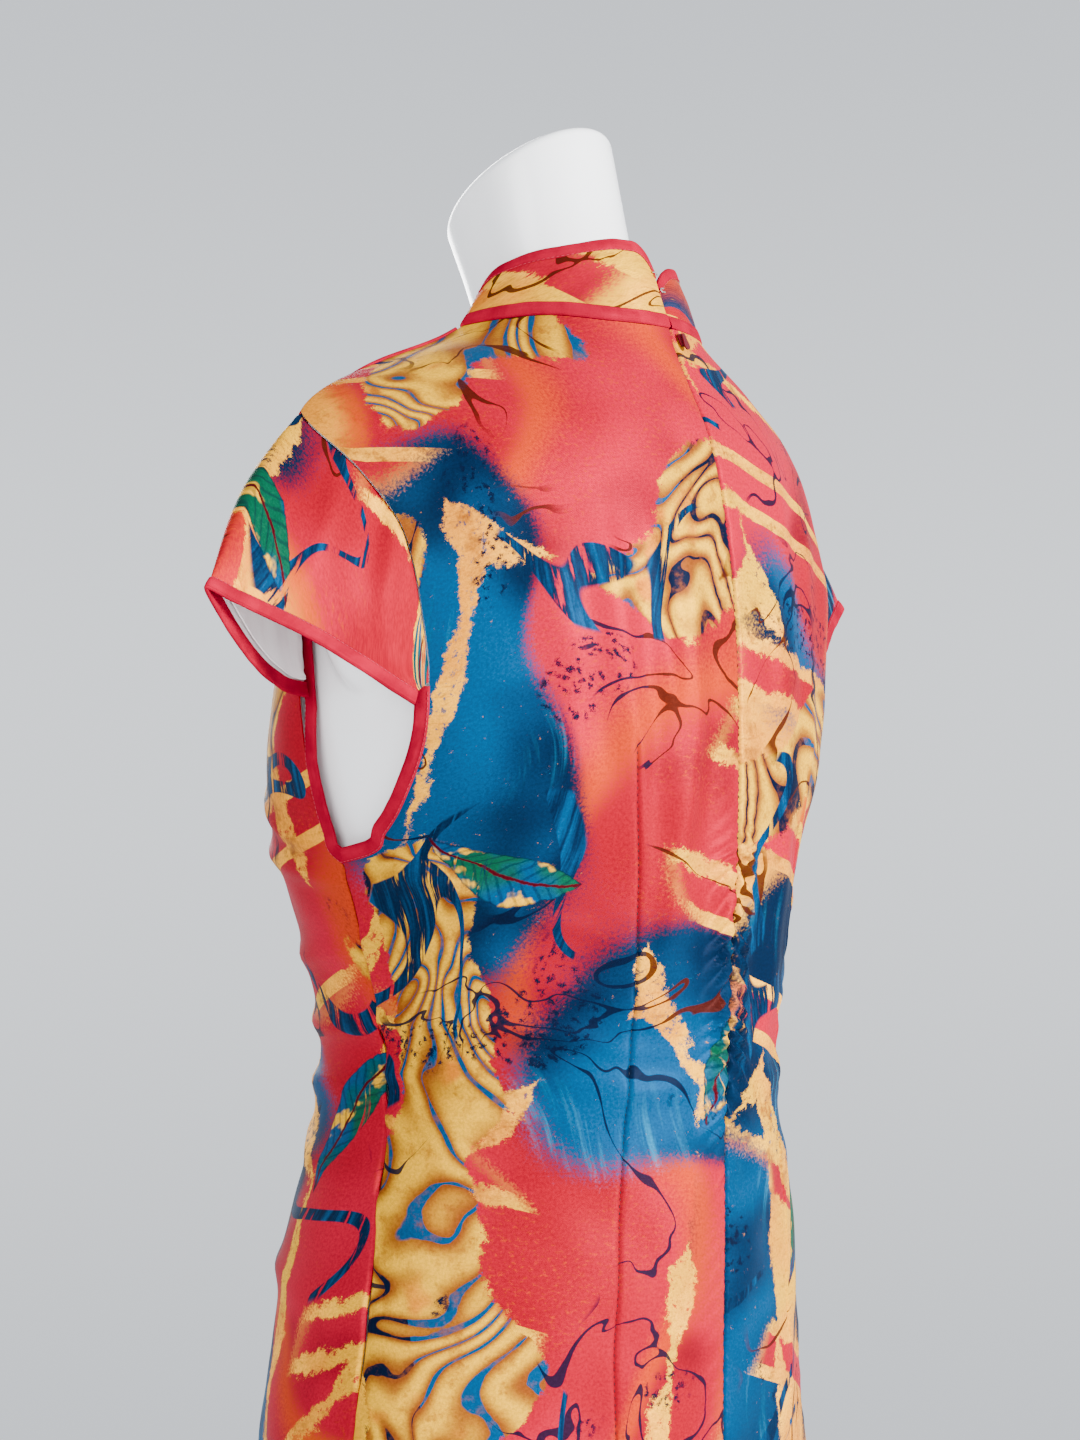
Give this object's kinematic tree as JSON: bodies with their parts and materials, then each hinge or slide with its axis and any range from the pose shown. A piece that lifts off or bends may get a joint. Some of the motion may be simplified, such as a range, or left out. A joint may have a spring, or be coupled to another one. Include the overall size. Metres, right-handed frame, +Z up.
{
  "type": "cheongsam dress on dress form",
  "caption": "Fitted cheongsam with cap sleeves, stand collar open at the back, crimson bindings and slit skirt, worn by a limbless dress form on a pole stand.",
  "frame": {"origin": "centre of the stand base's underside, on the floor", "axes": "+Z up, the dress's front towards -Y, the wearer's left side towards +X"},
  "size_m": [0.5372, 0.33, 1.5067],
  "materials": {
    "printed_satin": "printed stretch satin",
    "lining_satin": "pale satin",
    "crimson_binding": "satin bias binding",
    "zip_metal": "crimson enamel",
    "hook_metal": "nickel",
    "form_plastic": "glossy white",
    "stand_steel": "brushed"
  },
  "bodies": {
    "dress": {"front": "printed_satin", "back_left": "printed_satin", "back_right": "printed_satin", "collar": "printed_satin", "sleeve_left": "printed_satin", "sleeve_right": "printed_satin", "sleeve_lining_left": "lining_satin", "sleeve_lining_right": "lining_satin", "collar_binding": "crimson_binding", "neck_binding": "crimson_binding", "sleeve_binding_left": "crimson_binding", "sleeve_binding_right": "crimson_binding", "armhole_binding_left": "crimson_binding", "armhole_binding_right": "crimson_binding", "piping_left": "crimson_binding", "piping_right": "crimson_binding", "zip_slider": "zip_metal", "collar_hook": "hook_metal", "collar_eye": "hook_metal", "form_body": "form_plastic", "stand_base": "stand_steel", "stand_socket": "stand_steel", "stand_pole": "stand_steel"},
    "pull": {"zip_pull": "zip_metal"}
  },
  "joints": [
    {"name": "pull_swing", "type": "hinge", "parent": "dress", "child": "pull", "pos_m": [-0.00472, 0.09428, 1.39297], "axis": [0.9912, 0.098, -0.0887], "range_deg": [0, 120]}
  ]
}
